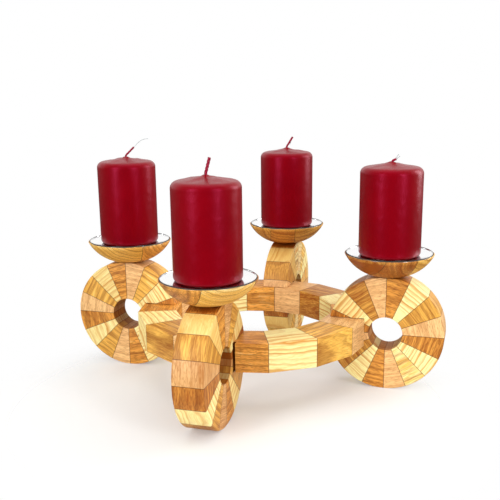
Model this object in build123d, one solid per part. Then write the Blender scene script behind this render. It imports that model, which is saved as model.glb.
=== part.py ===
"""Advent candle holder.

A flat-lying ring of glued wood segments passes through slots in four upright wheels.
Each wheel is glued up from wedges of four woods and carries a turned bowl, lined with
a polished steel plate, in which a pillar candle stands on a spike.

Millimetres, +Z up. The origin is on the table, under the middle of the ring.
"""
import os
from math import cos, radians, sin, sqrt

from build123d import *

# Woods, in the order in which they follow each other round the ring and the wheels
woods = ("cherry", "ash", "larch", "beech")
bowl_woods = ("larch", "cherry")

# Where the four wheels stand round the ring, in degrees from +X
wheel_azimuths = {"front": -90, "right": 0, "back": 90, "left": 180}
# A wheel's wedges run through the woods from its top outwards (1) or inwards (-1)
wedge_directions = {"front": 1, "right": 1, "back": -1, "left": 1}

# Wheels
wheel_circle_radius = 137.5
wheel_radius = 56.8
wheel_thickness = 28.5
wheel_eye_radius = 16.7
wheel_rim_round = 1.2
wheel_eye_round = 0.6
wedge_count = 16
foot_flat_width = 12
seat_flat_width = 20

# Ring
ring_segment_count = 16
ring_height = 27.7
ring_radial_width = 38.3
ring_edge_chamfer = 0.6
slot_gap = 0.6
# Wood left standing between the end of the slot and the wheel's eye
slot_web = 0.8

# Bowls
bowl_radius = 43.4
bowl_height = 22.4
bowl_side_bulge = 5.2
bowl_lip_width = 0.9
# How far each bowl's glue joints lie from its axis, as shares of its radius, the woods of the strips
# between them, and which way the joints run, in degrees from +X
bowl_joint_shares = {
    "front": (-0.75, 0.42),
    "right": (-0.08, 0.6),
    "back": (-0.19, 0.44),
    "left": (-0.15,),
}
bowl_strip_woods = {
    "front": ("cherry", "larch", "cherry"),
    "right": ("larch", "cherry", "larch"),
    "back": ("larch", "cherry", "larch"),
    "left": ("cherry", "larch"),
}
bowl_joint_azimuths = {"front": 127, "right": 130, "back": 106, "left": 124}

# Candle plates
plate_thickness = 0.8
plate_depth = 4.2
plate_stand_out = 0.5
glue_gap = 0.1

# Dowels between the bowls and the wheels
dowel_radius = 4
dowel_in_bowl = 8
dowel_in_wheel = 14
dowel_end_room = 0.5
dowel_gap = 0.05

# Candle spikes
spike_height = 22
spike_base_radius = 2.2
spike_tip_radius = 0.4
spike_collar_radius = 5
spike_collar_thickness = 0.8
spike_shank_radius = 1.6
spike_shank_length = 6
spike_gap = 0.3

# Candles
candle_radius = 30
candle_height = 90
candle_foot_round = 4.5
candle_shoulder_round = 6
candle_dome_rise = 4.2
candle_peak_height = 1.2
candle_peak_radius = 4.5
candle_peak_round = 2
candle_tip_round = 0.5
candle_seat_gap = 0.2

# Wicks: the lean is measured from upright, the turn is the way it leans, from +X
wick_radius = 1.2
wick_gap = 0.05
wick_wall_over_spike = 6
wick_free_lengths = {"front": 12.4, "right": 4, "back": 12, "left": 11}
wick_leans = {"front": 15, "right": 62, "back": 32, "left": 46}
wick_turns = {"front": 16, "right": 20, "back": 10, "left": 14}

# One overrun for every cut that passes right through
overrun = 5

# Places worked out from the sizes above
wedge_angle = 360 / wedge_count
segment_angle = 360 / ring_segment_count
wheel_center_height = sqrt(wheel_radius**2 - (foot_flat_width / 2) ** 2)
wheel_seat_height = wheel_center_height + sqrt(wheel_radius**2 - (seat_flat_width / 2) ** 2)
slot_height = ring_height + slot_gap
slot_floor = wheel_center_height - slot_height / 2
slot_end = wheel_eye_radius + slot_web
ring_outer_corner = wheel_circle_radius - slot_end - slot_gap / 2
ring_outer_flat = ring_outer_corner * cos(radians(segment_angle / 2))
ring_inner_flat = ring_outer_flat - ring_radial_width
bowl_rim_height = wheel_seat_height + bowl_height
bowl_foot_radius = seat_flat_width / 2
hollow_radius = bowl_radius - bowl_lip_width
plate_radius = hollow_radius - glue_gap
plate_rim_height = bowl_rim_height + plate_stand_out
plate_floor_height = plate_rim_height - plate_depth
plate_curve_radius = (plate_radius**2 + plate_depth**2) / (2 * plate_depth)
plate_curve_center = plate_floor_height + plate_curve_radius
plate_seat_curve_radius = plate_curve_radius + plate_thickness + glue_gap


def plate_height(radius, curve_radius):
    """How high a curved face of the plate, or of its seat, lies at a distance from its axis."""
    return plate_curve_center - sqrt(curve_radius**2 - radius**2)


candle_foot_radius = candle_radius - candle_foot_round
candle_floor = plate_height(candle_foot_radius, plate_curve_radius) + candle_seat_gap
candle_top = candle_floor + candle_height
spike_floor = plate_height(spike_collar_radius, plate_curve_radius)
spike_tip_height = spike_floor + spike_collar_thickness + spike_height
wick_hole_radius = wick_radius + wick_gap
wick_floor = spike_tip_height + spike_gap + wick_wall_over_spike


def sector(reach, start_angle, end_angle):
    """A flat triangle with its apex at the origin, between two angles measured from the first axis."""
    corners = [
        (reach * cos(radians(angle)), reach * sin(radians(angle)))
        for angle in (start_angle, end_angle)
    ]
    return make_face(Polyline((0, 0), *corners, close=True))


def upright_cylinder(radius, bottom, top):
    """A cylinder on the Z axis between two heights."""
    return Pos(0, 0, bottom) * Cylinder(
        radius, top - bottom, align=(Align.CENTER, Align.CENTER, Align.MIN)
    )


def turned(profile):
    """A solid of revolution about the Z axis from a closed outline in the XZ plane."""
    return revolve(Plane.XZ * make_face(profile), Axis.Z)


def at_wheel(shape, name):
    """Moves a shape made over the origin out to its wheel."""
    return Rot(0, 0, wheel_azimuths[name]) * Pos(wheel_circle_radius, 0, 0) * shape


def write(shapes, node):
    """Writes one node, as a group when it holds several solids."""
    solids = [solid for shape in shapes for solid in shape.solids()]
    whole = solids[0] if len(solids) == 1 else Compound(children=solids)
    export_step(whole, f"parts/{node}.step")


def ring_segment():
    """One straight piece of the ring across +X, mitred at both ends towards the ring's axis."""
    bar = Rectangle(ring_radial_width, ring_height)
    bar = chamfer(bar.vertices(), ring_edge_chamfer)
    bar = Pos((ring_inner_flat + ring_outer_flat) / 2, slot_floor + ring_height / 2) * bar
    bar = extrude(Plane.XZ * bar, ring_outer_corner, both=True)
    reach = (ring_outer_corner + overrun) / cos(radians(segment_angle / 2))
    mitre = Pos(0, 0, slot_floor - overrun) * extrude(
        sector(reach, -segment_angle / 2, segment_angle / 2), ring_height + 2 * overrun
    )
    return bar & mitre


def wheel_blank():
    """The whole wheel over the origin, with its eye, slot, flats and dowel hole, axis along Y."""
    band_width = wheel_radius - wheel_eye_radius
    band = Rectangle(band_width, wheel_thickness, align=(Align.MIN, Align.CENTER))
    eye_corners = band.vertices().group_by(Axis.X)[0]
    band = fillet(eye_corners, wheel_eye_round)
    rim_corners = band.vertices().group_by(Axis.X)[-1]
    band = fillet(rim_corners, wheel_rim_round)
    wheel = revolve(Pos(wheel_eye_radius, 0) * band, Axis.Y)
    wheel = Pos(0, 0, wheel_center_height) * wheel
    width = wheel_thickness + 2 * overrun
    slot = Pos(-slot_end, 0, slot_floor) * Box(
        wheel_radius, width, slot_height, align=(Align.MAX, Align.CENTER, Align.MIN)
    )
    foot = Box(
        2 * wheel_radius, width, wheel_radius, align=(Align.CENTER, Align.CENTER, Align.MAX)
    )
    seat = Pos(0, 0, wheel_seat_height) * Box(
        2 * wheel_radius, width, wheel_radius, align=(Align.CENTER, Align.CENTER, Align.MIN)
    )
    hole_floor = wheel_seat_height - dowel_in_wheel - dowel_end_room
    dowel_hole = upright_cylinder(dowel_radius + dowel_gap, hole_floor, wheel_seat_height + overrun)
    return wheel - slot - foot - seat - dowel_hole


def wheel_wedge(blank, index):
    """One wedge of a wheel, counted from the top outwards."""
    reach = (wheel_radius + overrun) / cos(radians(wedge_angle / 2))
    start = 90 - index * wedge_angle
    face = sector(reach, start, start - wedge_angle)
    cutter = extrude(Plane.XZ * face, wheel_thickness / 2 + overrun, both=True)
    return blank & (Pos(0, 0, wheel_center_height) * cutter)


def wedges_of(wood, name):
    """A wheel's wedges of one wood, in the order in which the woods go round that wheel."""
    inwards = wedge_directions[name] < 0
    chosen = []
    for index, wedge in enumerate(wedges):
        place = wedge_count - 1 - index if inwards else index
        if woods[place % len(woods)] == wood:
            chosen.append(at_wheel(wedge, name))
    return chosen


def bowl_blank():
    """The whole turned bowl, with a hollow for the plate and holes for the dowel and the spike."""
    foot = (bowl_foot_radius, wheel_seat_height)
    lip = (bowl_radius, bowl_rim_height)
    hollow_edge = (hollow_radius, bowl_rim_height)
    hollow_side = (hollow_radius, plate_height(hollow_radius, plate_seat_curve_radius))
    hollow_floor = (0, plate_height(0, plate_seat_curve_radius))
    profile = [
        Line((0, wheel_seat_height), foot),
        SagittaArc(foot, lip, -bowl_side_bulge),
        Line(lip, hollow_edge),
        Line(hollow_edge, hollow_side),
        RadiusArc(hollow_side, hollow_floor, plate_seat_curve_radius),
        Line(hollow_floor, (0, wheel_seat_height)),
    ]
    hole_top = wheel_seat_height + dowel_in_bowl + dowel_end_room
    dowel_hole = upright_cylinder(dowel_radius + dowel_gap, wheel_seat_height - overrun, hole_top)
    shank_hole = upright_cylinder(
        spike_shank_radius + glue_gap,
        spike_floor - spike_shank_length - glue_gap,
        plate_floor_height + overrun,
    )
    return turned(profile) - dowel_hole - shank_hole


def bowl_strips(blank, name):
    """A bowl's strips, between upright glue joints. The outer strips run past the rim."""
    reach = 2 * bowl_radius
    joints = [bowl_radius * share for share in bowl_joint_shares[name]]
    edges = [-reach, *joints, reach]
    turn = Rot(0, 0, bowl_joint_azimuths[name] - wheel_azimuths[name])
    strips = []
    for start, end in zip(edges, edges[1:]):
        slab = Pos(0, start, wheel_seat_height - overrun) * Box(
            2 * reach, end - start, bowl_height + 2 * overrun, align=(Align.CENTER, Align.MIN, Align.MIN)
        )
        strips.append(blank & (turn * slab))
    return strips


def candle_plate():
    """A shallow dish of polished sheet, with a hole for the spike's shank."""
    under_curve_radius = plate_curve_radius + plate_thickness
    rim = (plate_radius, plate_rim_height)
    floor = (0, plate_floor_height)
    under_floor = (0, plate_floor_height - plate_thickness)
    under_rim = (plate_radius, plate_height(plate_radius, under_curve_radius))
    profile = [
        RadiusArc(rim, floor, plate_curve_radius),
        Line(floor, under_floor),
        RadiusArc(under_floor, under_rim, -under_curve_radius),
        Line(under_rim, rim),
    ]
    hole = upright_cylinder(
        spike_shank_radius + glue_gap, plate_floor_height - overrun, plate_floor_height + overrun
    )
    return turned(profile) - hole


def bowl_dowel():
    """A plain wooden dowel, half in the bowl and half in the wheel."""
    return upright_cylinder(
        dowel_radius, wheel_seat_height - dowel_in_wheel, wheel_seat_height + dowel_in_bowl
    )


def spike_shape(gap):
    """The tapered point and its collar, grown by a gap."""
    base = spike_floor + spike_collar_thickness
    slope = (spike_base_radius - spike_tip_radius) / spike_height
    tip = base + spike_height + gap
    profile = Polyline(
        (0, spike_floor),
        (spike_collar_radius + gap, spike_floor),
        (spike_collar_radius + gap, base + gap),
        (spike_base_radius + gap - slope * gap, base + gap),
        (spike_tip_radius + gap - slope * gap, tip),
        (0, tip),
        close=True,
    )
    return turned(profile)


def candle_spike():
    """A steel spike with a collar that holds the plate down and a shank screwed into the bowl."""
    shank = upright_cylinder(spike_shank_radius, spike_floor - spike_shank_length, spike_floor)
    return spike_shape(0) + shank


def candle():
    """A pillar of wax with a rounded foot, a domed top and a small peak round the wick."""
    shoulder = candle_top - candle_dome_rise - candle_peak_height
    dome_top = candle_top - candle_peak_height
    outside = FilletPolyline(
        (0, candle_floor),
        (candle_radius, candle_floor),
        (candle_radius, shoulder),
        (candle_peak_radius, dome_top),
        (2 * wick_radius, candle_top),
        (0, candle_top),
        radius=[candle_foot_round, candle_shoulder_round, candle_peak_round, candle_tip_round],
    )
    axis = Line((0, candle_top), (0, candle_floor))
    wax = turned([outside, axis])
    wick_hole = upright_cylinder(wick_hole_radius, wick_floor, candle_top + overrun)
    return wax - wick_hole - spike_shape(spike_gap)


def wick(name):
    """A wick that runs down the candle's axis and leans over where it leaves the wax."""
    bend = Pos(0, 0, candle_top + wick_radius)
    inside = upright_cylinder(wick_radius, wick_floor, candle_top + wick_radius)
    free = Cylinder(
        wick_radius, wick_free_lengths[name], align=(Align.CENTER, Align.CENTER, Align.MIN)
    )
    turn = wick_turns[name] - wheel_azimuths[name]
    leaning = bend * Rot(0, 0, turn) * Rot(0, wick_leans[name], 0) * free
    return inside + bend * Sphere(wick_radius) + leaning


os.makedirs("parts", exist_ok=True)

segment = ring_segment()
for index in range(ring_segment_count):
    wood = woods[index % len(woods)]
    turned_segment = Rot(0, 0, (index + 1 / 2) * segment_angle) * segment
    write([turned_segment], f"ring_{wood}_segment_{index // len(woods) + 1}")

plain_wheel = wheel_blank()
wedges = [wheel_wedge(plain_wheel, index) for index in range(wedge_count)]
plain_bowl = bowl_blank()
plate = candle_plate()
dowel = bowl_dowel()
spike = candle_spike()
pillar = candle()

for name in wheel_azimuths:
    for wood in woods:
        write(wedges_of(wood, name), f"{name}_wheel_{wood}_wedges")
    strips = bowl_strips(plain_bowl, name)
    for wood in bowl_woods:
        chosen = [
            at_wheel(strip, name)
            for strip, strip_wood in zip(strips, bowl_strip_woods[name])
            if strip_wood == wood
        ]
        write(chosen, f"{name}_bowl_{wood}_strips")
    write([at_wheel(plate, name)], f"{name}_candle_plate")
    write([at_wheel(dowel, name)], f"{name}_bowl_dowel")
    write([at_wheel(spike, name)], f"{name}_candle_spike")
    write([at_wheel(pillar, name)], f"{name}_candle")
    write([at_wheel(wick(name), name)], f"{name}_wick")
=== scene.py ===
"""Looks of the advent candle holder.

Every wooden piece is rebuilt as a clean mesh over its CAD node and carries its own board: the
attribute "grain" holds each point's place in the board the piece was sawn from, in millimetres,
with the first axis along the fibres and the tree's pith on that axis. "seam" is the distance to
the nearest glue joint in millimetres. "tone" is how dark the board is: 0 gives the wood's pale
colour, 1 or more its dark colour, and less than 0 goes over to pale sapwood; on a wheel's rim
under its bowl and on a bowl's lip and foot it also holds painted light and shade. The attribute
of painted shade, on the corners of faces, darkens the walls of the wheels' eyes and of the ring's
notches, from 0 to 1.
"""
import random
from math import atan2, cos, hypot, pi, radians, sin, sqrt, tan

import bmesh
import bpy
from mathutils import Matrix, Vector, noise


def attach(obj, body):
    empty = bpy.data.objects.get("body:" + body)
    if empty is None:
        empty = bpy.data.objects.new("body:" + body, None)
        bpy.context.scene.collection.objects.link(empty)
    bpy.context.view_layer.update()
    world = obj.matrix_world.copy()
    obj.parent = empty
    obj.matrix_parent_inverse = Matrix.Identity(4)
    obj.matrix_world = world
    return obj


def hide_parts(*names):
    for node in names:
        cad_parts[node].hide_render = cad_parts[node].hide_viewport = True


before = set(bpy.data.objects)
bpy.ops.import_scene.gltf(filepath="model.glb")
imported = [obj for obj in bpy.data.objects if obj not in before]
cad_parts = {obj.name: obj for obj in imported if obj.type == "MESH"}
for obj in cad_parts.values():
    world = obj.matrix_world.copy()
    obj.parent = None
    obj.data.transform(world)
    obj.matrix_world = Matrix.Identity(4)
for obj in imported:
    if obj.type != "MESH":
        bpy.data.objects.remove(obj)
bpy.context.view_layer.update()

# Sizes in millimetres, with the same names as in the part's source where the solids have them too
millimetre = 0.001
woods = ("cherry", "ash", "larch", "beech")
wheel_azimuths = {"front": -90, "right": 0, "back": 90, "left": 180}
wedge_directions = {"front": 1, "right": 1, "back": -1, "left": 1}
wheel_circle_radius = 137.5
wheel_radius = 56.8
wheel_thickness = 28.5
wheel_eye_radius = 16.7
wheel_rim_round = 1.2
wheel_eye_round = 0.6
wedge_count = 16
foot_flat_width = 12
seat_flat_width = 20
ring_segment_count = 16
ring_height = 27.7
ring_radial_width = 38.3
ring_edge_round = 0.6
slot_gap = 0.6
slot_web = 0.8
# The ring is notched for each wheel, a little wider and deeper than the wheel needs. The web is what the
# slot leaves standing before the eye. The front wheel fits loosest.
lap_webs = {"front": 3.4, "right": 4.2, "back": 4.2, "left": 4.2}
lap_side_gaps = {"front": 1.9, "right": 0.2, "back": 0.4, "left": 0.2}
lap_depth = 8
bowl_radius = 43.4
bowl_height = 22.4
bowl_side_bulge = 5.2
bowl_lip_width = 0.9
bowl_lip_round = 0.3
bowl_joint_shares = {
    "front": (-0.75, 0.42),
    "right": (-0.08, 0.6),
    "back": (-0.19, 0.44),
    "left": (-0.15,),
}
bowl_strip_woods = {
    "front": ("cherry", "larch", "cherry"),
    "right": ("larch", "cherry", "larch"),
    "back": ("larch", "cherry", "larch"),
    "left": ("cherry", "larch"),
}
bowl_joint_azimuths = {"front": 127, "right": 130, "back": 106, "left": 124}
plate_thickness = 0.8
plate_depth = 4.2
plate_stand_out = 0.5
plate_bead_width = 0.9
plate_bead_rise = 0.6
plate_bead_slope = 0.6
# Height of the painted shade band on the bead's inner wall
plate_shade_band = 0.25
glue_gap = 0.1
dowel_radius = 4
dowel_in_bowl = 8
dowel_in_wheel = 14
dowel_end_room = 0.5
dowel_gap = 0.05
dowel_chamfer = 0.8
spike_height = 22
spike_base_radius = 2.2
spike_tip_radius = 0.4
spike_collar_radius = 5
spike_collar_thickness = 0.8
spike_shank_radius = 1.6
spike_shank_length = 6
spike_gap = 0.3
candle_radius = 30
candle_height = 90
candle_foot_round = 4.5
candle_shoulder_round = 6
candle_dome_rise = 4.2
candle_peak_height = 1.2
candle_peak_radius = 4.5
candle_peak_bevel = 1.2
candle_crest_bevel = 0.5
candle_seat_gap = 0.2
wick_radius = 1.2
wick_gap = 0.05
wick_wall_over_spike = 6
wick_free_lengths = {"front": 12.4, "right": 2.8, "back": 12, "left": 11}
wick_leans = {"front": 15, "right": 72, "back": 32, "left": 46}
wick_turns = {"front": 16, "right": 20, "back": 10, "left": 14}

# Places worked out from the sizes
wedge_angle = 2 * pi / wedge_count
segment_angle = 2 * pi / ring_segment_count
wheel_center_height = sqrt(wheel_radius**2 - (foot_flat_width / 2) ** 2)
seat_over_center = sqrt(wheel_radius**2 - (seat_flat_width / 2) ** 2)
wheel_seat_height = wheel_center_height + seat_over_center
slot_half_height = (ring_height + slot_gap) / 2
slot_floor = wheel_center_height - slot_half_height
slot_end = wheel_eye_radius + slot_web
ring_outer_corner = wheel_circle_radius - slot_end - slot_gap / 2
notch_floor = ring_outer_corner - lap_depth
ring_outer_flat = ring_outer_corner * cos(segment_angle / 2)
ring_middle = ring_outer_flat - ring_radial_width / 2
bowl_rim_height = wheel_seat_height + bowl_height
bowl_foot_radius = seat_flat_width / 2
hollow_radius = bowl_radius - bowl_lip_width
plate_radius = hollow_radius - glue_gap
plate_rim_height = bowl_rim_height + plate_stand_out
plate_floor_height = plate_rim_height - plate_depth
plate_curve_radius = (plate_radius**2 + plate_depth**2) / (2 * plate_depth)
plate_curve_center = plate_floor_height + plate_curve_radius
plate_seat_curve_radius = plate_curve_radius + plate_thickness + glue_gap


def plate_height(radius, curve_radius):
    """How high a curved face of the plate, or of its seat, lies at a distance from its axis."""
    return plate_curve_center - sqrt(curve_radius**2 - radius**2)


candle_floor = plate_height(candle_radius - candle_foot_round, plate_curve_radius) + candle_seat_gap
candle_top = candle_floor + candle_height
spike_floor = plate_height(spike_collar_radius, plate_curve_radius)
spike_base = spike_floor + spike_collar_thickness
spike_tip_height = spike_base + spike_height
wick_floor = spike_tip_height + spike_gap + wick_wall_over_spike
wick_hole_radius = wick_radius + wick_gap

# How finely curved pieces are divided, and below which angle an edge is shaded smooth
wedge_steps = 6
turned_steps = 96
round_steps = 4
ring_edge_steps = 3
bowl_side_steps = 20
bowl_seat_steps = 8
bowl_lip_steps = 2
plate_steps = 10
dowel_sides = 24
candle_foot_steps = 6
candle_shoulder_steps = 8
candle_peak_steps = 4
candle_crest_steps = 3
smooth_below = radians(32)

# How close counts as touching, in millimetres
plane_room = 0.001
circle_room = 0.01
merge_room = 1e-4
cut_room = 1e-5

# Noise hardly ever leaves this range
noise_low = 0.3
noise_high = 0.7


def linear(hex_colour):
    """An sRGB hex colour as linear RGBA."""
    channels = [int(hex_colour[place : place + 2], 16) / 255 for place in (1, 3, 5)]
    return (*[c / 12.92 if c <= 0.04045 else ((c + 0.055) / 1.055) ** 2.4 for c in channels], 1.0)


def connect(tree, node, links):
    """Gives each named input of a node a socket or a constant."""
    for key, value in links.items():
        if isinstance(value, bpy.types.NodeSocket):
            tree.links.new(value, node.inputs[key])
        else:
            node.inputs[key].default_value = value


def add(tree, kind, links=(), **settings):
    """Adds a node with its settings and links, and gives back its outputs.

    Inputs go by name or number: a map range has its value, low, high, new low and new high at 0 to 4, and a
    mix of colours has its share and the two colours at 0, 6 and 7.
    """
    node = tree.nodes.new("ShaderNode" + kind)
    for key, value in settings.items():
        setattr(node, key, value)
    connect(tree, node, dict(links))
    return node.outputs


def new_material(name):
    """A material with nothing but its shader."""
    material = bpy.data.materials.new(name)
    material.use_nodes = True
    return material, material.node_tree, material.node_tree.nodes["Principled BSDF"]


# What the four woods share: the length in millimetres and the width in rings of their bands of colour, the
# length, width and strength of their fibre streaks, and the range of noise that makes a fleck
band_long = 60
band_rings = 1.4
streak_long = 22
streak_wide = 1.0
streak_strength = 0.28
fleck_low = 0.52
fleck_high = 0.66
# Over how many rings good and bad years change, by how many rings they shift a line, where in a ring its
# line is darkest, and how strong the weakest line is
years_apart = 3
years_shift = 2.6
line_peak = 0.9
weakest_line = 0.25
# The tone that is all sapwood, and how far from a glue joint its dark line is full and gone, in millimetres
sapwood_tone = -0.6
glue_full = 0.12
glue_gone = 0.5
glue_strength = 0.75


def oiled_wood(name, colours, rings, wander, fleck):
    """Sanded and oiled wood: growth rings round the pith, fibres along it and flecks or pores.

    Colours are the pale wood, the dark wood, the ring line and the fleck. Rings are their spacing in
    millimetres, the share of each that is dark, and the strengths of their lines and of the bands of
    colour along them. Wander is how far the rings stray, and the lengths along and across the fibres
    over which they do. Fleck is the length, width and strength of the dashes.
    """
    pale, dark, line, dash = [linear(colour) for colour in colours]
    sapwood = linear("#ffeba6")
    glue_brown = linear("#4a270b")
    shade_brown = linear("#7e4117")
    ring_mm, line_share, line_strength, band = rings
    wander_mm, wander_long, wander_wide = wander
    fleck_long, fleck_wide, fleck_strength = fleck
    material, tree, shader = new_material(name)
    given = [add(tree, "Attribute", attribute_name=key) for key in ("grain", "seam", "tone", "painted_shade")]
    grain = given[0]["Vector"]
    seam, tone, painted_shade = [outputs["Fac"] for outputs in given[1:]]

    # The rings wander along the board, and faster across it
    sockets = {0: grain, 1: (1 / wander_long, 1 / wander_wide, 1 / wander_wide)}
    place = add(tree, "VectorMath", sockets, operation="MULTIPLY")[0]
    stray = add(tree, "TexNoise", {"Vector": place, "Scale": 1.0, "Detail": 3.0})["Color"]
    sockets = {0: stray, 1: (0, wander_mm, wander_mm), 2: grain}
    moved = add(tree, "VectorMath", sockets, operation="MULTIPLY_ADD")[0]
    across = add(tree, "VectorMath", {0: moved, 1: (0, 1, 1)}, operation="MULTIPLY")[0]
    radius = add(tree, "VectorMath", {0: across}, operation="LENGTH")["Value"]
    along = add(tree, "SeparateXYZ", {0: moved})["X"]

    # Good and bad years make the rings uneven in width and strength
    years = add(tree, "Math", {0: radius, 1: 1 / (years_apart * ring_mm)}, operation="MULTIPLY")[0]
    uneven = add(tree, "TexNoise", {"W": years, "Scale": 1.0, "Detail": 1.0}, noise_dimensions="1D")[0]
    count = add(tree, "Math", {0: radius, 1: 1 / ring_mm}, operation="MULTIPLY")[0]
    phase = add(tree, "Math", {0: uneven, 1: years_shift, 2: count}, operation="MULTIPLY_ADD")[0]
    within = add(tree, "Math", {0: phase}, operation="FRACT")[0]
    year = add(tree, "Math", {0: phase}, operation="FLOOR")[0]
    harvest = add(tree, "TexWhiteNoise", {"W": year}, noise_dimensions="1D")["Value"]
    sockets = {0: within, 1: 1 - line_share, 2: line_peak}
    rise = add(tree, "MapRange", sockets, interpolation_type="SMOOTHSTEP")[0]
    fall = add(tree, "MapRange", {0: within, 1: line_peak, 2: 1.0, 3: 1.0, 4: 0.0})[0]
    weight = add(tree, "MapRange", {0: harvest, 3: weakest_line * line_strength, 4: line_strength})[0]
    ridge = add(tree, "Math", {0: rise, 1: fall}, operation="MULTIPLY")[0]
    ring_line = add(tree, "Math", {0: ridge, 1: weight}, operation="MULTIPLY")[0]

    # Broad bands of colour that follow the rings, fibre streaks, and dashes
    spread = add(tree, "CombineXYZ", {"X": along, "Y": radius})[0]
    layers = (
        (spread, band_long, band_rings * ring_mm, 4.0, 0.65),
        (moved, streak_long, streak_wide, 3.0, 0.6),
        (moved, fleck_long, fleck_wide, 1.0, 0.5),
    )
    noises = []
    for place, long, wide, detail, roughness in layers:
        sockets = {0: place, 1: (1 / long, 1 / wide, 1 / wide)}
        stretched = add(tree, "VectorMath", sockets, operation="MULTIPLY")[0]
        sockets = {"Vector": stretched, "Scale": 1.0, "Detail": detail, "Roughness": roughness}
        noises.append(add(tree, "TexNoise", sockets)[0])
    bands, streak, dashes = noises
    flecks = add(tree, "MapRange", {0: dashes, 1: fleck_low, 2: fleck_high, 4: fleck_strength})[0]

    # Colour: the board's tone with its bands and streaks, then rings, flecks, the dark glue joint and
    # the painted shade on the walls of eyes and notches
    sockets = {0: bands, 1: noise_low, 2: noise_high, 3: -band, 4: band}
    banded = add(tree, "MapRange", sockets, clamp=False)[0]
    sockets = {0: streak, 1: noise_low, 2: noise_high, 3: -streak_strength, 4: streak_strength}
    streaked = add(tree, "MapRange", sockets, clamp=False)[0]
    figure = add(tree, "Math", {0: banded, 1: streaked}, operation="ADD")[0]
    depth = add(tree, "Math", {0: figure, 1: tone}, operation="ADD")[0]
    outer = add(tree, "MapRange", {0: depth, 1: 0.0, 2: sapwood_tone})[0]
    sockets = {0: seam, 1: glue_full, 2: glue_gone, 3: glue_strength, 4: 0.0}
    joint = add(tree, "MapRange", sockets, interpolation_type="SMOOTHSTEP")[0]
    over = [(depth, dark), (outer, sapwood), (ring_line, line), (flecks, dash)]
    over += [(joint, glue_brown), (painted_shade, shade_brown)]
    colour = pale
    for share, next_colour in over:
        colour = add(tree, "Mix", {0: share, 6: colour, 7: next_colour}, data_type="RGBA")[2]

    # Satin oil: a little duller in the open fibres, and hardly any gloss where shade is painted on a wall
    rough = add(tree, "MapRange", {0: streak, 1: noise_low, 2: noise_high, 3: 0.34, 4: 0.5})[0]
    relief = add(tree, "Math", {0: flecks, 1: streak}, operation="SUBTRACT")[0]
    sockets = {"Height": relief, "Strength": 0.25, "Distance": 0.15 * millimetre}
    bump = add(tree, "Bump", sockets, invert=True)[0]
    gloss = add(tree, "MapRange", {0: painted_shade, 2: 0.5, 3: 0.32, 4: 0.05})[0]
    connect(tree, shader, {"Base Color": colour, "Roughness": rough, "Normal": bump})
    connect(tree, shader, {"IOR": 1.45, "Specular IOR Level": gloss})
    return material


# Cherry: orange brown, with irregular darker figure and dark gum flecks
cherry_colours = ("#f6ae4c", "#9c5010", "#7d3f0c", "#70360a")
cherry = oiled_wood("oiled_cherry", cherry_colours, (5, 0.75, 0.6, 0.36), (6, 50, 14), (6, 0.9, 0.52))
# Ash: pale cream with tan bands of open pores at each ring
ash_colours = ("#fff5ae", "#edc570", "#d38d34", "#d99a42")
ash = oiled_wood("oiled_ash", ash_colours, (3.8, 0.72, 1.0, 0.3), (7, 45, 20), (9, 0.8, 0.3))
# Larch: golden yellow sapwood and brown heartwood, with darker latewood at each ring
larch_colours = ("#ffc65a", "#984c0e", "#86440c", "#8c4a10")
larch = oiled_wood("oiled_larch", larch_colours, (5, 0.7, 0.65, 0.34), (8, 60, 18), (14, 0.8, 0.35))
# Beech: pinkish tan, hardly any ring lines, but short ray flecks along the fibres, drawn coarser than
# the real 0.3 mm so that they show
beech_colours = ("#fdcd8c", "#b37234", "#b5783c", "#9c5d26")
beech = oiled_wood("oiled_beech", beech_colours, (5, 0.6, 0.45, 0.26), (5, 50, 16), (4.5, 0.8, 0.45))
wood_materials = {"cherry": cherry, "ash": ash, "larch": larch, "beech": beech}


def mottled(name, colours, clump_mm, detail, values):
    """A material whose colour wavers between two, in clumps of a size. Values are its shader's constants."""
    material, tree, shader = new_material(name)
    place = add(tree, "TexCoord")["Object"]
    sockets = {"Vector": place, "Scale": 1 / (clump_mm * millimetre), "Detail": detail}
    clumps = add(tree, "TexNoise", sockets)[0]
    sockets = {0: clumps, 6: linear(colours[0]), 7: linear(colours[1])}
    colour = add(tree, "Mix", sockets, data_type="RGBA")[2]
    connect(tree, shader, {"Base Color": colour, **values})
    return material, tree, shader, place, clumps


def dyed_wax():
    """Dyed paraffin wax, pressed and dipped: deep burgundy with a satin skin and shallow dents."""
    # The dye lies in the skin too, so what it mirrors head-on is tinted
    values = {"IOR": 1.44, "Specular IOR Level": 0.5, "Specular Tint": linear("#ff5997")}
    # Cloudy depth of colour over about 25 mm, fine frosting of about 1.5 mm and dents of about 9 mm
    made = mottled("dyed_paraffin_wax", ("#720006", "#860008"), 25, 2.0, values)
    material, tree, shader, place, _ = made
    frost = add(tree, "TexNoise", {"Vector": place, "Scale": 1 / (1.5 * millimetre), "Detail": 2.0})[0]
    rough = add(tree, "MapRange", {0: frost, 1: noise_low, 2: noise_high, 3: 0.3, 4: 0.38})[0]
    dents = add(tree, "TexNoise", {"Vector": place, "Scale": 1 / (9 * millimetre), "Detail": 1.0})[0]
    height = add(tree, "Math", {0: frost, 1: 0.12, 2: dents}, operation="MULTIPLY_ADD")[0]
    bump = add(tree, "Bump", {"Height": height, "Strength": 0.5, "Distance": 0.8 * millimetre})[0]
    connect(tree, shader, {"Roughness": rough, "Normal": bump})
    return material


def sheet_steel():
    """Polished stainless sheet, spun to a dish: a mirror with a faint haze."""
    material, tree, shader = new_material("polished_stainless_steel")
    place = add(tree, "TexCoord")["Object"]
    haze = add(tree, "TexNoise", {"Vector": place, "Scale": 1 / (6 * millimetre), "Detail": 3.0})[0]
    rough = add(tree, "MapRange", {0: haze, 3: 0.05, 4: 0.14})[0]
    connect(tree, shader, {"Base Color": linear("#f4f5f6"), "Roughness": rough, "Metallic": 1.0})
    return material


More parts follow.
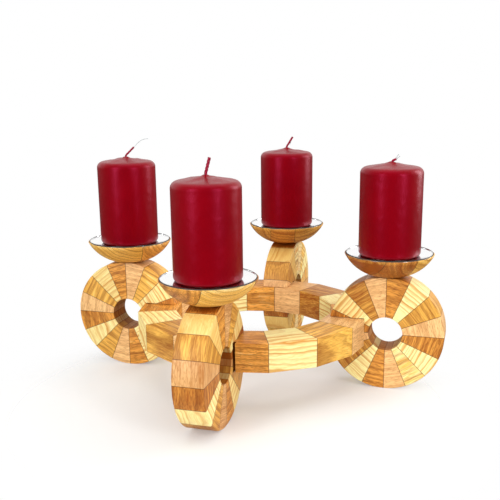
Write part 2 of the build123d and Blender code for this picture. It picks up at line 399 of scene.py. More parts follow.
def turned_steel():
    """Bright turned steel of the spikes: rings from the lathe, drawn about 3 mm apart so that they show."""
    material, tree, shader = new_material("turned_bright_steel")
    place = add(tree, "TexCoord")["Object"]
    # The bands of a wave texture lie 0.314 apart at scale 1
    sockets = {"Vector": place, "Scale": 1 / (10 * millimetre), "Distortion": 0.4}
    lathe = add(tree, "TexWave", sockets, bands_direction="Z")["Fac"]
    sockets = {0: lathe, 6: linear("#a9a9ab"), 7: linear("#c9c9ca")}
    colour = add(tree, "Mix", sockets, data_type="RGBA")[2]
    rough = add(tree, "MapRange", {0: lathe, 3: 0.24, 4: 0.36})[0]
    connect(tree, shader, {"Base Color": colour, "Roughness": rough, "Metallic": 1.0})
    return material


def waxed_cotton():
    """Braided cotton soaked in the dyed wax: darker than the candle, with a waxy gloss."""
    values = {"Roughness": 0.38, "Specular IOR Level": 0.25}
    made = mottled("waxed_cotton_braid", ("#4c0016", "#b8103e"), 0.9, 3.0, values)
    material, tree, shader, _, yarn = made
    sockets = {"Height": yarn, "Strength": 0.4, "Distance": 0.3 * millimetre}
    connect(tree, shader, {"Normal": add(tree, "Bump", sockets)[0]})
    return material


wax = dyed_wax()
plate_steel = sheet_steel()
spike_steel = turned_steel()
wick_braid = waxed_cotton()
# Painted shade along the steel sheet's bead: dark and dull, standing in for the shadowed gap to the wooden
# lip
edge_values = {"Metallic": 0.2, "Roughness": 0.5}
plate_painted_shade = mottled("steel_bead_painted_shade", ("#140f0c", "#352c27"), 2, 2.0, edge_values)[0]
# Raw cotton of the loose threads, which the wax has not reached: greyish white and dull
loose_thread = mottled("raw_cotton_thread", ("#949c9e", "#c4cccd"), 1.2, 2.0, {"Roughness": 0.9})[0]

# Seeds of the boards, half the length of the logs they come from, and the "seam" of a piece without joints
wheel_seed_step = 100
tone_seed_step = 7
ring_seed = 900
bowl_seed = 2000
bowl_seed_step = 10
dowel_seed = 3000
board_half_length = 400
no_joint_distance = 50


def board(seed, frame_of_board, roll, tilt, pith, fineness=1.0):
    """Where a piece was sawn from its board: the growth rings' roll about the fibres, the tilt of the
    fibres to the piece, both in degrees, the distance to the pith, and how fine its grain is."""
    shift = Vector((random.Random(seed).uniform(-board_half_length, board_half_length), pith, 0))
    turn = Matrix.Rotation(radians(tilt), 4, "Z") @ Matrix.Rotation(radians(roll), 4, "X")
    return Matrix.Scale(fineness, 4) @ Matrix.Translation(shift) @ turn @ frame_of_board.inverted()


def axes(origin, along, across):
    """A frame with its first axis along the fibres and its second across them."""
    first = Vector(along).normalized()
    third = first.cross(Vector(across)).normalized()
    second = third.cross(first)
    rows = Matrix((first, second, third)).transposed().to_4x4()
    return Matrix.Translation(Vector(origin)) @ rows


def write_board(bm, board_matrix, joints, tone):
    """Writes a piece's place in its board, its distance to the glue joints and its tone."""
    grain = bm.verts.layers.float_vector.new("grain")
    seam = bm.verts.layers.float.new("seam")
    depth = bm.verts.layers.float.new("tone")
    for vert in bm.verts:
        vert[grain] = board_matrix @ vert.co
        distances = [abs((vert.co - point).dot(normal)) for point, normal in joints]
        vert[seam] = min(distances, default=no_joint_distance)
        vert[depth] = tone


def write_painted_shade(bm, strength, burnt):
    """Paints shade on the faces that a test picks, darkening them."""
    painted_shade = bm.loops.layers.float.new("painted_shade")
    for face in bm.faces:
        if burnt(face):
            for loop in face.loops:
                loop[painted_shade] = strength


def cut(bm, point, normal, fill=True):
    """Cuts off what lies on the normal's side of a plane and closes the cut. Without fill it only divides
    the faces along the plane."""
    geometry = bm.verts[:] + bm.edges[:] + bm.faces[:]
    made = bmesh.ops.bisect_plane(
        bm, geom=geometry, dist=cut_room, plane_co=point, plane_no=normal, clear_outer=fill
    )
    rim = [item for item in made["geom_cut"] if isinstance(item, bmesh.types.BMEdge)]
    if fill and rim:
        bmesh.ops.edgenet_fill(bm, edges=rim)


def tidy(bm):
    """Merges doubles and turns the faces outwards."""
    bmesh.ops.remove_doubles(bm, verts=bm.verts, dist=merge_room)
    bmesh.ops.dissolve_degenerate(bm, edges=bm.edges, dist=cut_room)
    bmesh.ops.recalc_face_normals(bm, faces=bm.faces)


def in_scene(name, data):
    """A new object of the scene."""
    made = bpy.data.objects.new(name, data)
    bpy.context.scene.collection.objects.link(made)
    return made


def piece(name, bms, materials, body, nodes):
    """Joins meshes made in millimetres into one piece of the scene."""
    whole = bmesh.new()
    for bm in bms:
        part = bpy.data.meshes.new("part")
        bm.to_mesh(part)
        bm.free()
        whole.from_mesh(part)
        bpy.data.meshes.remove(part)
    bmesh.ops.scale(whole, vec=(millimetre, millimetre, millimetre), verts=whole.verts)
    for face in whole.faces:
        face.smooth = True
    for edge in whole.edges:
        edge.smooth = edge.calc_face_angle(pi) < smooth_below
    mesh = bpy.data.meshes.new(name)
    whole.to_mesh(mesh)
    whole.free()
    for material in materials:
        mesh.materials.append(material)
    made = in_scene(name, mesh)
    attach(made, body)
    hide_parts(*nodes)


def round_off(bm, chosen, offset, steps, kind="EDGES"):
    """Rounds off edges or corners."""
    bmesh.ops.bevel(bm, geom=chosen, offset=offset, segments=steps, profile=0.5, affect=kind, material=-1)


def at_wheel(name, height=0.0):
    """The matrix that takes what was made over the origin out to its wheel."""
    turn = Matrix.Rotation(radians(wheel_azimuths[name]), 4, "Z")
    return turn @ Matrix.Translation((wheel_circle_radius, 0, height))


def step_out(bm, planes):
    """Takes a step out of a piece, where it lies past both of two planes. Gives back the step's faces."""
    for point, normal in planes:
        cut(bm, point, normal, fill=False)

    def past(place):
        return [(place - point).dot(normal) for point, normal in planes]

    gone = [face for face in bm.faces if min(past(face.calc_center_median())) > 0]
    bmesh.ops.delete(bm, geom=gone, context="FACES")
    open_verts = [vert for vert in bm.verts if vert.is_boundary]
    corner = [vert for vert in open_verts if max(map(abs, past(vert.co))) < plane_room]
    if corner:
        bm.edges.new(corner)
    made = []
    for number in range(len(planes)):
        wall = []
        for edge in bm.edges:
            on_plane = all(abs(past(vert.co)[number]) < plane_room for vert in edge.verts)
            if on_plane and len(edge.link_faces) < 2:
                wall.append(edge)
        made += bmesh.ops.edgenet_fill(bm, edges=wall)["faces"]
    return made


def wheel_wedge(index, slot_stop):
    """One wedge round the wheel's centre, counted from the top outwards, with the axle along Y."""
    bm = bmesh.new()
    half = wheel_thickness / 2
    radii = (wheel_eye_radius, wheel_radius, wheel_radius, wheel_eye_radius)
    places = zip(radii, (-half, -half, half, half))
    corners = [bm.verts.new((radius, side, 0)) for radius, side in places]
    bm.faces.new(corners)
    round_off(bm, corners[1:3], wheel_rim_round, round_steps, "VERTICES")
    round_off(bm, (corners[0], corners[3]), wheel_eye_round, round_steps, "VERTICES")
    start = pi / 2 - index * wedge_angle
    bmesh.ops.rotate(bm, verts=bm.verts, matrix=Matrix.Rotation(-start, 3, "Y"))
    whole = bm.verts[:] + bm.edges[:] + bm.faces[:]
    bmesh.ops.spin(bm, geom=whole, axis=(0, 1, 0), angle=wedge_angle, steps=wedge_steps)
    tidy(bm)
    quarter = wedge_count // 4
    slot_side = (Vector((-slot_stop, 0, 0)), Vector((-1, 0, 0)))
    if index in (quarter * 3, quarter * 3 + 1):
        step_out(bm, (slot_side, (Vector((0, 0, slot_half_height)), Vector((0, 0, -1)))))
    if index in (quarter * 3 - 1, quarter * 3 - 2):
        step_out(bm, (slot_side, (Vector((0, 0, -slot_half_height)), Vector((0, 0, 1)))))
    if index in (0, wedge_count - 1):
        cut(bm, (0, 0, seat_over_center), (0, 0, 1))
    if index in (quarter * 2 - 1, quarter * 2):
        cut(bm, (0, 0, -wheel_center_height), (0, 0, -1))
    tidy(bm)
    return bm


def wedge_board(index, seed):
    """The board of one wedge: its fibres run across the wedge."""
    place = random.Random(seed)
    middle = pi / 2 - (index + 0.5) * wedge_angle
    outwards = Vector((cos(middle), 0, sin(middle)))
    origin = outwards * (wheel_eye_radius + wheel_radius) / 2
    flat = axes(origin, (-sin(middle), 0, cos(middle)), outwards)
    roll = place.uniform(-wedge_roll_span, wedge_roll_span)
    tilt = place.uniform(-wedge_tilt_span, wedge_tilt_span)
    return board(seed, flat, roll, tilt, place.uniform(*wedge_pith_span))


def wedge_joints(index):
    """The two glue faces of a wedge, as points and normals."""
    joints = []
    for edge in (index, index + 1):
        angle = pi / 2 - edge * wedge_angle
        joints.append((Vector((0, 0, 0)), Vector((-sin(angle), 0, cos(angle)))))
    return joints


# How far the boards of the wedges differ: roll of the rings, tilt of the fibres, distance to the pith, tone
wedge_roll_span = 55
wedge_tilt_span = 7
wedge_pith_span = (25, 70)
wedge_tone_span = (0.2, 0.6)
# How dark the board of a wedge is, by its number from the top outwards, where it isn't left to chance
wedge_tones = {
    "front": {
        0: 0.38, 1: 0.9, 2: 0.5, 3: 0.6, 4: 0.72, 5: 0.3, 6: 0.52, 7: 0.62, 8: 0.5, 10: 0.35, 11: 0.9,
        12: 1.2, 13: 0.5, 14: 0.34, 15: 0.5,
    },
    "right": {
        0: 0.36, 1: 0.1, 2: 0.4, 3: 0.22, 4: 0.46, 5: 0.1, 6: -0.35, 7: 0.28, 8: 0.36, 9: 0.2, 10: 0.55,
        13: 0.3, 14: 0.6, 15: 0.25,
    },
    "back": {
        0: -0.3, 1: -0.15, 2: -0.1, 3: -0.15, 5: 0.0, 6: -0.1, 7: 0.0, 8: -0.3, 10: 1.0, 11: 0.8, 13: 0.55,
        14: 1.1, 15: -0.35,
    },
    "left": {0: 0.25, 2: 0.25, 3: 0.15, 4: 0.35, 6: 0.3, 7: 0.2, 8: 0.3, 10: 0.3, 14: 0.08, 15: 0.15},
}
# How much painted shade darkens the walls of eyes and notches, and how far past its radius an eye's wall
# counts
eye_painted_shade = 0.62
notch_painted_shade = 1.0
eye_wall_room = 0.1
# Painted shadow of the bowl: how far below the seat the rim is darker, and the tone painted there
bowl_shadow_drop = 3
bowl_shadow_tones = {"front": 1.0, "right": 0.6, "back": 1.4, "left": 0.5}


def in_eye(face):
    """Whether a face lies on the wall of a wheel's eye."""
    middle = face.calc_center_median()
    return hypot(middle.x, middle.z) < wheel_eye_radius + eye_wall_room


def wheel(name, number):
    """A wheel's wedges, one piece for each wood."""
    chosen = {wood: [] for wood in woods}
    for index in range(wedge_count):
        place = wedge_count - 1 - index if wedge_directions[name] < 0 else index
        seed = number * wheel_seed_step + index
        bm = wheel_wedge(index, wheel_eye_radius + lap_webs[name])
        chance_tone = random.Random(seed + tone_seed_step).uniform(*wedge_tone_span)
        tone = wedge_tones[name].get(index, chance_tone)
        write_board(bm, wedge_board(index, seed), wedge_joints(index), tone)
        shade = bm.verts.layers.float["tone"]
        # Painted shadow of the bowl on the rim just under the seat
        for vert in bm.verts:
            on_rim = abs(vert.co.y) < (wheel_thickness - wheel_rim_round) / 2
            if on_rim and vert.co.z > seat_over_center - bowl_shadow_drop:
                vert[shade] = bowl_shadow_tones[name]
        # Painted shade on the wall of the eye
        write_painted_shade(bm, eye_painted_shade, in_eye)
        bm.transform(at_wheel(name, wheel_center_height))
        chosen[woods[place % len(woods)]].append(bm)
    for wood, bms in chosen.items():
        node = f"{name}_wheel_{wood}_wedges"
        piece(f"{name}_wheel_{wood}", bms, [wood_materials[wood]], "holder", [node])


# How each segment of the ring was sawn, from +X anticlockwise: roll of the rings, tilt of the fibres,
# distance to the pith, fineness of the grain, tone
ring_boards = (
    (60, 3, 45, 1.0, 0.25),
    (80, 2, 50, 1.0, 0.25),
    (20, 9, 24, 1.0, 0.72),
    (35, 2, 50, 1.0, 0.3),
    (5, 3, 26, 1.0, 0.2),
    (85, 2, 60, 1.0, 0.1),
    (50, 4, 40, 1.0, 0.4),
    (30, 3, 50, 1.0, 0.3),
    (65, 3, 40, 1.0, 0.4),
    (25, 4, 50, 1.0, 0.2),
    (30, -3, 24, 1.0, 0.55),
    (30, 2, 45, 1.0, 0.05),
    (84, 1, 45, 1.5, 0.22),
    (72, 2, 30, 1.0, 0.28),
    (18, 7, 28, 1.0, 0.24),
    (40, 3, 40, 1.0, 0.15),
)
# Which joint of the ring each wheel stands over
wheels_on_ring = {}
for name, azimuth in wheel_azimuths.items():
    wheels_on_ring[round(azimuth % 360 * ring_segment_count / 360)] = name


def ring_segment(index):
    """One straight, mitred piece of the ring, with eased edges and, at a wheel, half of the notch for it."""
    bm = bmesh.new()
    painted_shade = bm.loops.layers.float.new("painted_shade")
    bmesh.ops.create_cube(bm, size=1)
    bmesh.ops.scale(bm, vec=(ring_radial_width, ring_outer_corner, ring_height), verts=bm.verts)
    bmesh.ops.translate(bm, vec=(ring_middle, 0, slot_floor + ring_height / 2), verts=bm.verts)
    long_edges = [edge for edge in bm.edges if abs(edge.verts[0].co.y - edge.verts[1].co.y) > plane_room]
    round_off(bm, long_edges, ring_edge_round, ring_edge_steps)
    joints = []
    for side in (-1, 1):
        angle = side * segment_angle / 2
        normal = Vector((-sin(angle), cos(angle), 0)) * side
        cut(bm, (0, 0, 0), normal)
        joints.append((Vector((0, 0, 0)), normal))
        wheel_here = wheels_on_ring.get((index + (side + 1) // 2) % ring_segment_count)
        if wheel_here:
            outwards = Vector((cos(angle), sin(angle), 0))
            floor = (outwards * notch_floor, outwards)
            shoulder = -normal * (wheel_thickness / 2 + lap_side_gaps[wheel_here])
            # Painted shade on the walls of the notch
            for face in step_out(bm, (floor, (shoulder, normal))):
                for loop in face.loops:
                    loop[painted_shade] = notch_painted_shade
    # Points in the middle, so that "seam" is right all along the piece
    cut(bm, (0, 0, 0), (0, 1, 0), fill=False)
    tidy(bm)
    flat = axes((ring_middle, 0, slot_floor + ring_height / 2), (0, 1, 0), (1, 0, 0))
    roll, tilt, pith, fineness, tone = ring_boards[index]
    write_board(bm, board(ring_seed + index, flat, roll, tilt, pith, fineness), joints, tone)
    bm.transform(Matrix.Rotation((index + 0.5) * segment_angle, 4, "Z"))
    wood = woods[index % len(woods)]
    number = index // len(woods) + 1
    node = f"ring_{wood}_segment_{number}"
    piece(f"ring_{wood}_{number}", [bm], [wood_materials[wood]], "holder", [node])


def outline(bm, points, start=None):
    """A wire through points given as radius and height, on from a start if there is one. Gives its end."""
    for radius, height in points:
        vert = bm.verts.new((radius, 0, height))
        if start is not None:
            bm.edges.new((start, vert))
        start = vert
    return start


def sweep(bm, vert, center, end, steps):
    """Carries a wire on from a vertex along an arc about a center, to a point, both radius and height."""
    start_angle = atan2(vert.co.z - center[1], vert.co.x - center[0])
    end_angle = atan2(end[1] - center[1], end[0] - center[0])
    turn = (end_angle - start_angle + pi) % (2 * pi) - pi
    made = bmesh.ops.spin(
        bm, geom=[vert], cent=(center[0], 0, center[1]), axis=(0, -1, 0), angle=turn, steps=steps
    )
    return [item for item in made["geom_last"] if isinstance(item, bmesh.types.BMVert)][0]


def turn_round(bm):
    """Turns a wire into a closed shell about the Z axis."""
    wire = bm.verts[:] + bm.edges[:]
    bmesh.ops.spin(bm, geom=wire, axis=(0, 0, 1), angle=2 * pi, steps=turned_steps, use_merge=True)
    tidy(bm)


def soften(bm, radius, height, offset, steps):
    """Rounds the circular edge at a radius and height."""
    circle = []
    for edge in bm.edges:
        misses = [abs(hypot(vert.co.x, vert.co.y) - radius) for vert in edge.verts]
        misses += [abs(vert.co.z - height) for vert in edge.verts]
        if max(misses) < circle_room:
            circle.append(edge)
    round_off(bm, circle, offset, steps)


def bowl_shell():
    """The whole turned bowl, hollowed for its plate and bored for the dowel and the spike."""
    bm = bmesh.new()
    dowel_hole = dowel_radius + dowel_gap
    dowel_hole_top = wheel_seat_height + dowel_in_bowl + dowel_end_room
    shank_hole = spike_shank_radius + glue_gap
    shank_floor = spike_floor - spike_shank_length - glue_gap
    foot = Vector((bowl_foot_radius, wheel_seat_height))
    lip = Vector((bowl_radius, bowl_rim_height))
    chord = lip - foot
    outwards = Vector((chord.y, -chord.x)).normalized()
    side_radius = (chord.length**2 / 4 + bowl_side_bulge**2) / (2 * bowl_side_bulge)
    side_center = (foot + lip) / 2 + outwards * (bowl_side_bulge - side_radius)
    hole = ((0, dowel_hole_top), (dowel_hole, dowel_hole_top), (dowel_hole, wheel_seat_height))
    end = outline(bm, (*hole, (bowl_foot_radius, wheel_seat_height)))
    end = sweep(bm, end, side_center, lip, bowl_side_steps)
    seat_rim = (hollow_radius, plate_height(hollow_radius, plate_seat_curve_radius))
    end = outline(bm, ((hollow_radius, bowl_rim_height), seat_rim), end)
    seat_end = (shank_hole, plate_height(shank_hole, plate_seat_curve_radius))
    end = sweep(bm, end, (0, plate_curve_center), seat_end, bowl_seat_steps)
    outline(bm, ((shank_hole, shank_floor), (0, shank_floor)), end)
    turn_round(bm)
    for radius in (bowl_radius, hollow_radius):
        soften(bm, radius, bowl_rim_height, bowl_lip_round, bowl_lip_steps)
    return bm


# How each bowl's strips were sawn: roll of the rings, tilt of the fibres, distance to the pith, fineness of
# the grain, tone
bowl_boards = {
    "front": ((20, 4, 40, 1.2, 0.6), (80, 24, 70, 1.8, 0.1), (35, -8, 30, 1.2, 0.42)),
    "right": ((70, -4, 60, 1.4, 0.3), (40, 30, 40, 1.2, 0.8), (80, -12, 26, 1.4, 1.1)),
    "back": ((80, 3, 60, 1.2, 0.55), (90, 2, 55, 1.2, 0.6), (60, 10, 45, 1.2, 0.65)),
    "left": ((30, 5, 50, 1.3, 0.25), (85, 20, 60, 1.7, 0.24)),
}
# Painted light and shade: the lip is paler over its top few millimetres and the foot is darker
bowl_lit_rim = 3
bowl_rim_light_tone = -0.3
bowl_shaded_foot = 2.5
bowl_foot_shade_tone = 0.7


def bowl(name, number):
    """A bowl's strips, one piece for each wood."""
    joints_run = radians(bowl_joint_azimuths[name] - wheel_azimuths[name])
    along = Vector((cos(joints_run), sin(joints_run), 0))
    across = Vector((-sin(joints_run), cos(joints_run), 0))
    offsets = [bowl_radius * share for share in bowl_joint_shares[name]]
    joints = [(across * offset, across) for offset in offsets]
    middle = Vector((0, 0, (wheel_seat_height + bowl_rim_height) / 2))
    chosen = {"larch": [], "cherry": []}
    whole = bowl_shell()
    for index, wood in enumerate(bowl_strip_woods[name]):
        bm = whole.copy()
        if index > 0:
            cut(bm, across * offsets[index - 1], -across)
        if index < len(offsets):
            cut(bm, across * offsets[index], across)
        tidy(bm)
        seed = bowl_seed + number * bowl_seed_step + index
        roll, tilt, pith, fineness, tone = bowl_boards[name][index]
        flat = axes(middle, along, across)
        write_board(bm, board(seed, flat, roll, tilt, pith, fineness), joints, tone)
        shade = bm.verts.layers.float["tone"]
        # Painted light on the lip and painted shade on the foot
        for vert in bm.verts:
            if vert.co.z > bowl_rim_height - bowl_lit_rim:
                vert[shade] = tone + bowl_rim_light_tone
            if vert.co.z < wheel_seat_height + bowl_shaded_foot:
                vert[shade] = tone + bowl_foot_shade_tone
        bm.transform(at_wheel(name))
        chosen[wood].append(bm)
    whole.free()
    for wood, bms in chosen.items():
        node = f"{name}_bowl_{wood}_strips"
        piece(f"{name}_bowl_{wood}", bms, [wood_materials[wood]], "holder", [node])


def plate(name):
    """A shallow dish of sheet steel with a small bead round its edge, painted dark as shade on its top and
    outer slope.
    """
    bm = bmesh.new()
    hole = spike_shank_radius + glue_gap
    under_radius = plate_curve_radius + plate_thickness
    start = outline(bm, [(hole, plate_height(hole, plate_curve_radius))])
    bead_start = plate_radius - plate_bead_width
    center = (0, plate_curve_center)
    bead_foot = (bead_start, plate_height(bead_start, plate_curve_radius))
    end = sweep(bm, start, center, bead_foot, plate_steps)
    top = plate_rim_height + plate_bead_rise
    bead = (
        (bead_start, top - plate_shade_band),
        (bead_start, top),
        (plate_radius - plate_bead_slope, top),
        (plate_radius, top - plate_bead_slope),
        (plate_radius, plate_height(plate_radius, under_radius)),
    )
    end = outline(bm, bead, end)
    end = sweep(bm, end, center, (hole, plate_height(hole, under_radius)), plate_steps)
    bm.edges.new((end, start))
    turn_round(bm)
    # Painted shade: the faces at the top of the bead get the dark edge material
    for face in bm.faces:
        if max(vert.co.z for vert in face.verts) > top - circle_room:
            face.material_index = 1
    bm.transform(at_wheel(name))
    materials = [plate_steel, plate_painted_shade]
    piece(f"{name}_plate", [bm], materials, "holder", [f"{name}_candle_plate"])


# How the dowels were sawn: roll of the rings, tilt of the fibres, distance to the pith; and their tone
dowel_board = (0, 3, 40)
dowel_tone = 0.4


def dowel(name):
    """A plain dowel with chamfered ends, between the bowl and the wheel."""
    bm = bmesh.new()
    length = dowel_in_bowl + dowel_in_wheel
    bmesh.ops.create_cone(
        bm, cap_ends=True, segments=dowel_sides, radius1=dowel_radius, radius2=dowel_radius, depth=length
    )
    middle = wheel_seat_height + (dowel_in_bowl - dowel_in_wheel) / 2
    bmesh.ops.translate(bm, vec=(0, 0, middle), verts=bm.verts)
    for height in (middle - length / 2, middle + length / 2):
        soften(bm, dowel_radius, height, dowel_chamfer, 1)
    flat = axes((0, 0, middle), (0, 0, 1), (1, 0, 0))
    write_board(bm, board(dowel_seed, flat, *dowel_board), [], dowel_tone)
    bm.transform(at_wheel(name))
    piece(f"{name}_dowel", [bm], [beech], "holder", [f"{name}_bowl_dowel"])


# The wax of the top has set unevenly: height and length of its waves, and where its rings of points lie,
# as shares of the way from the edge to the peak
wax_wave_height = 1.0
wax_wave_length = 9
dome_shares = (0, 0.3, 0.44, 0.58, 0.72, 0.86)


def candle(name, number):
    """A pillar of wax: bored for the spike, with a rounded foot, a soft shoulder and a peak at the wick."""
    bm = bmesh.new()
    shoulder = candle_top - candle_dome_rise - candle_peak_height
    dome_top = candle_top - candle_peak_height
    slope = (spike_base_radius - spike_tip_radius) / spike_height
    collar = spike_collar_radius + spike_gap
    taper = spike_gap * (1 - slope)
    dome = []
    for share in dome_shares:
        reach = candle_radius + (candle_peak_radius - candle_radius) * share
        dome.append((reach, shoulder + candle_dome_rise * share))
    points = (
        (0, spike_tip_height + spike_gap),
        (spike_tip_radius + taper, spike_tip_height + spike_gap),
        (spike_base_radius + taper, spike_base + spike_gap),
        (collar, spike_base + spike_gap),
        (collar, candle_floor),
        (candle_radius, candle_floor),
        *dome,
        (candle_peak_radius, dome_top),
        (2 * wick_radius, candle_top),
        (wick_hole_radius, candle_top),
        (wick_hole_radius, wick_floor),
        (0, wick_floor),
    )
    outline(bm, points)
    turn_round(bm)
    soften(bm, candle_radius, candle_floor, candle_foot_round, candle_foot_steps)
    shoulder_turn = pi / 2 - atan2(candle_dome_rise, candle_radius - candle_peak_radius)
    shoulder_bevel = candle_shoulder_round * tan(shoulder_turn / 2)
    soften(bm, candle_radius, shoulder, shoulder_bevel, candle_shoulder_steps)
    soften(bm, candle_peak_radius, dome_top, candle_peak_bevel, candle_peak_steps)
    soften(bm, 2 * wick_radius, candle_top, candle_crest_bevel, candle_crest_steps)
    calm_edge = candle_radius - candle_shoulder_round
    for vert in bm.verts:
        reach = hypot(vert.co.x, vert.co.y)
        if vert.co.z > shoulder and 2 * wick_radius < reach < calm_edge:
            fade = min(1, (calm_edge - reach) / candle_shoulder_round)
            place = Vector((vert.co.x, vert.co.y, number * candle_height))
            vert.co.z += fade * wax_wave_height * noise.noise(place / wax_wave_length)
    bm.transform(at_wheel(name))
    piece(f"{name}_candle_wax", [bm], [wax], f"{name}_pillar", [f"{name}_candle"])


# A wick's strands, the length in which they go once round and how deep their grooves are. How thick each
# wick is beside its solid, how wide it bends for its radius, and how finely it is divided.
strand_count = 3
strand_pitch = 9.0
strand_depth_share = 0.82
wick_swellings = {"front": 1.2, "right": 1.0, "back": 1.0, "left": 0.9}
wick_bend_radii = 1.5
wick_section_points = 18
wick_core_steps = 48
wick_bend_steps = 6
wick_least_steps = 6
wick_steps_per_millimetre = 2

thread_radius = 0.32
thread_bend_radius = 14
thread_sides = 6
thread_steps = 4
thread_bend_steps = 10
# Loose threads: how far up the free wick each starts, its lean, its straight length and how far it bends
# over after that
loose_threads = {
    "front": (),
    "right": ((0.3, 38, 6.5, 0), (0.95, 52, 4.5, 0)),
    "back": ((0.97, 200, 9, 0),),
    "left": ((0.97, 46, 7, 48),),
}


def carry(bm, geometry, travel, turn, axis, center, steps):
    """Extrudes a section along a way, turning it about an axis as it goes, and gives back its far end."""
    made = bmesh.ops.spin(
        bm, geom=geometry, cent=center, axis=axis, dvec=Vector(travel) / steps, angle=turn, steps=steps
    )
    return made["geom_last"]


def leaning(angle):
    """The way something points that leans over towards +X, by an angle from upright."""
    return Vector((sin(angle), 0, cos(angle)))


def loose_strand(start, lean, straight, bend):
    """A cotton thread that starts at a point, runs straight at a lean and then bends over further."""
    bm = bmesh.new()
    bmesh.ops.create_circle(bm, cap_ends=True, segments=thread_sides, radius=thread_radius)
    bmesh.ops.rotate(bm, verts=bm.verts, matrix=Matrix.Rotation(lean, 3, "Y"))
    bmesh.ops.translate(bm, vec=start, verts=bm.verts)
    direction = leaning(lean)
    end = carry(bm, bm.faces[:], direction * straight, 0, (0, 1, 0), start, thread_steps)
    if bend:
        center = start + direction * straight + leaning(lean + pi / 2) * thread_bend_radius
        carry(bm, end, (0, 0, 0), bend, (0, 1, 0), center, thread_bend_steps)
    tidy(bm)
    for face in bm.faces:
        face.material_index = 1
    return bm


def wick(name):
    """A twisted wick that comes straight up out of the wax and leans over, with its loose threads."""
    bm = bmesh.new()
    radius = wick_radius * wick_swellings[name]
    bmesh.ops.create_circle(bm, cap_ends=True, segments=wick_section_points, radius=radius)
    for vert in bm.verts:
        angle = atan2(vert.co.y, vert.co.x)
        lobe = (1 + cos(strand_count * angle)) / 2
        vert.co *= strand_depth_share + (1 - strand_depth_share) * lobe
    bmesh.ops.translate(bm, vec=(0, 0, wick_floor), verts=bm.verts)
    lean = radians(wick_leans[name])
    bend_radius = wick_bend_radii * radius
    bend_start = candle_top + wick_radius - bend_radius * tan(lean / 2)
    rise = bend_start - wick_floor
    twist = 2 * pi / strand_pitch
    end = carry(bm, bm.faces[:], (0, 0, rise), rise * twist, (0, 0, 1), (0, 0, 0), wick_core_steps)
    end = carry(bm, end, (0, 0, 0), lean, (0, 1, 0), (bend_radius, 0, bend_start), wick_bend_steps)
    direction = leaning(lean)
    start = Vector((bend_radius * (1 - cos(lean)), 0, bend_start + bend_radius * sin(lean)))
    free = wick_free_lengths[name] + wick_radius - bend_radius * tan(lean / 2)
    steps = max(wick_least_steps, round(free * wick_steps_per_millimetre))
    carry(bm, end, direction * free, free * twist, direction, start, steps)
    tidy(bm)
    parts = [bm]
    for place, thread_lean, straight, bend in loose_threads[name]:
        foot = start + direction * free * place
        parts.append(loose_strand(foot, radians(thread_lean), straight, radians(bend)))
    turn = Matrix.Rotation(radians(wick_turns[name] - wheel_azimuths[name]), 4, "Z")
    for part in parts:
        part.transform(at_wheel(name) @ turn)
    materials = [wick_braid, loose_thread]
    piece(f"{name}_wick_braid", parts, materials, f"{name}_pillar", [f"{name}_wick"])


for number in range(ring_segment_count):
    ring_segment(number)
for number, name in enumerate(wheel_azimuths, 1):
    wheel(name, number)
    bowl(name, number)
    plate(name)
    dowel(name)
    candle(name, number)
    wick(name)
    # The spike's solid has the right shape and only gets its material
    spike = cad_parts[f"{name}_candle_spike"]
    spike.data.materials.clear()
    spike.data.materials.append(spike_steel)


# The photograph's camera, fitted to the wheels, the ring and the candles
camera_distance = 784.418
camera_azimuth = 16.5687
camera_height = 297.945
camera_pitch = -14.2317
camera_yaw = 0.5964
camera_roll = -0.4682
focal_pixels = 785.349
image_side = 500
image_center = (262, 280)

# The studio: strength of the even light, of the backdrop and of the room as mirrored
ambient_strength = 0.64
backdrop_strength = 1.05
room_strength = 0.12
# How the world changes with direction: between which cosines to the camera's side the backdrop ends, and
# between which heights it ends downwards and the even light falls to a share
backdrop_side = (-0.35, 0.5)
backdrop_foot = (-0.06, 0.12)
ambient_foot = (-0.2, 0.1)
ambient_foot_share = 0.7
# The floor in metres: its radius, and between which distances from a spot it fades, from how clear
floor_radius = 1.6
floor_spot = (0, -0.09, 0)
floor_fade = (0.12, 0.26)
floor_clear = 0.2
# Each soft box as place, target, width and height in metres, and watts
soft_boxes = {
    "left_box": ((-0.6, -1.3, 0.6), (0, 0, 0.15), 0.34, 1.2, 12),
    "right_box": ((1.2, -0.9, 0.6), (0, 0, 0.15), 0.34, 1.2, 12),
    "top_box": ((0.05, -0.15, 1.8), (0, 0, 0), 1.8, 1.8, 12),
    "rear_box": ((1.1, 0.75, 0.55), (0, 0.1, 0.1), 0.5, 1.0, 9),
}


def soft_box(name, place, target, width, height, watts):
    """A rectangular studio light that faces a target."""
    lamp = bpy.data.lights.new(name, "AREA")
    lamp.shape = "RECTANGLE"
    lamp.size = width
    lamp.size_y = height
    lamp.energy = watts
    made = in_scene(name, lamp)
    made.location = place
    made.rotation_euler = (Vector(target) - Vector(place)).to_track_quat("-Z", "Y").to_euler()


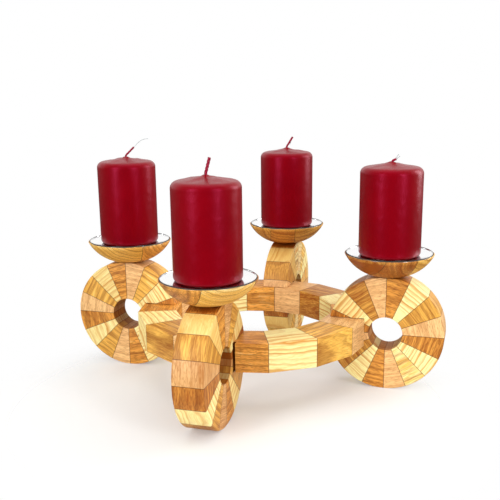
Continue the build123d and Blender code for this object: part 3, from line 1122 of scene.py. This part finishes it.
def studio():
    """A pale floor that fades into white, soft boxes beside the camera, one overhead and one to the rear."""
    bm = bmesh.new()
    bmesh.ops.create_circle(bm, cap_ends=True, segments=turned_steps, radius=floor_radius)
    mesh = bpy.data.meshes.new("floor")
    bm.to_mesh(mesh)
    bm.free()
    floor = in_scene("floor", mesh)
    material, tree, shader = new_material("white_paper_floor")
    paper = {"Base Color": linear("#e8e8e7"), "Roughness": 0.9, "Specular IOR Level": 0.1}
    connect(tree, shader, paper)
    place = add(tree, "TexCoord")["Object"]
    distance = add(tree, "VectorMath", {0: place, 1: floor_spot}, operation="DISTANCE")["Value"]
    sockets = {0: distance, 1: floor_fade[0], 2: floor_fade[1], 3: floor_clear}
    fade = add(tree, "MapRange", sockets, interpolation_type="SMOOTHSTEP")[0]
    clear = add(tree, "BsdfTransparent")[0]
    mixed = add(tree, "MixShader", {0: fade, 1: shader.outputs[0], 2: clear})[0]
    connect(tree, tree.nodes["Material Output"], {"Surface": mixed})
    mesh.materials.append(material)

    world = bpy.data.worlds.new("studio")
    bpy.context.scene.world = world
    world.use_nodes = True
    tree = world.node_tree
    # The camera sees white all round and diffuse light comes evenly from the room. What shines mirrors a
    # white backdrop behind the object, above the floor, and a dimmer room elsewhere.
    seen = add(tree, "Background", {"Color": linear("#ffffff"), "Strength": 1.0})[0]
    direction = add(tree, "TexCoord")["Generated"]
    azimuth = radians(camera_azimuth)
    to_camera = (sin(azimuth), -cos(azimuth), 0.0)
    facing = add(tree, "VectorMath", {0: direction, 1: to_camera}, operation="DOT_PRODUCT")["Value"]
    sockets = {0: facing, 1: backdrop_side[0], 2: backdrop_side[1], 3: 1.0, 4: 0.0}
    behind = add(tree, "MapRange", sockets, interpolation_type="SMOOTHSTEP")[0]
    height = add(tree, "SeparateXYZ", {0: direction})["Z"]
    above = add(tree, "MapRange", {0: height, 1: backdrop_foot[0], 2: backdrop_foot[1]})[0]
    bright = add(tree, "Math", {0: behind, 1: above}, operation="MULTIPLY")[0]
    mirrored = add(tree, "MapRange", {0: bright, 3: room_strength, 4: backdrop_strength})[0]
    ray = add(tree, "LightPath")
    weakest = ambient_foot_share * ambient_strength
    sockets = {0: height, 1: ambient_foot[0], 2: ambient_foot[1], 3: weakest, 4: ambient_strength}
    even = add(tree, "MapRange", sockets)[0]
    strength = add(tree, "Mix", {0: ray["Is Glossy Ray"], 2: even, 3: mirrored})[0]
    fill = add(tree, "Background", {"Color": linear("#fffefd"), "Strength": strength})[0]
    mixed = add(tree, "MixShader", {0: ray["Is Camera Ray"], 1: fill, 2: seen})[0]
    connect(tree, tree.nodes["World Output"], {"Surface": mixed})

    for name, box in soft_boxes.items():
        soft_box(name, *box)


def camera():
    """The camera at the photograph's place."""
    data = bpy.data.cameras.new("camera")
    data.sensor_width = 36
    data.lens = data.sensor_width * focal_pixels / image_side
    data.shift_x = 0.5 - image_center[0] / image_side
    data.shift_y = image_center[1] / image_side - 0.5
    made = in_scene("camera", data)
    azimuth = radians(camera_azimuth)
    place = Vector((camera_distance * sin(azimuth), -camera_distance * cos(azimuth), camera_height))
    turn = Matrix.Rotation(radians(camera_azimuth - camera_yaw), 4, "Z")
    turn = turn @ Matrix.Rotation(radians(90 + camera_pitch), 4, "X")
    turn = turn @ Matrix.Rotation(radians(camera_roll), 4, "Z")
    made.matrix_world = Matrix.Translation(place * millimetre) @ turn
    bpy.context.scene.camera = made


studio()
camera()
bpy.context.scene.view_settings.view_transform = "Standard"
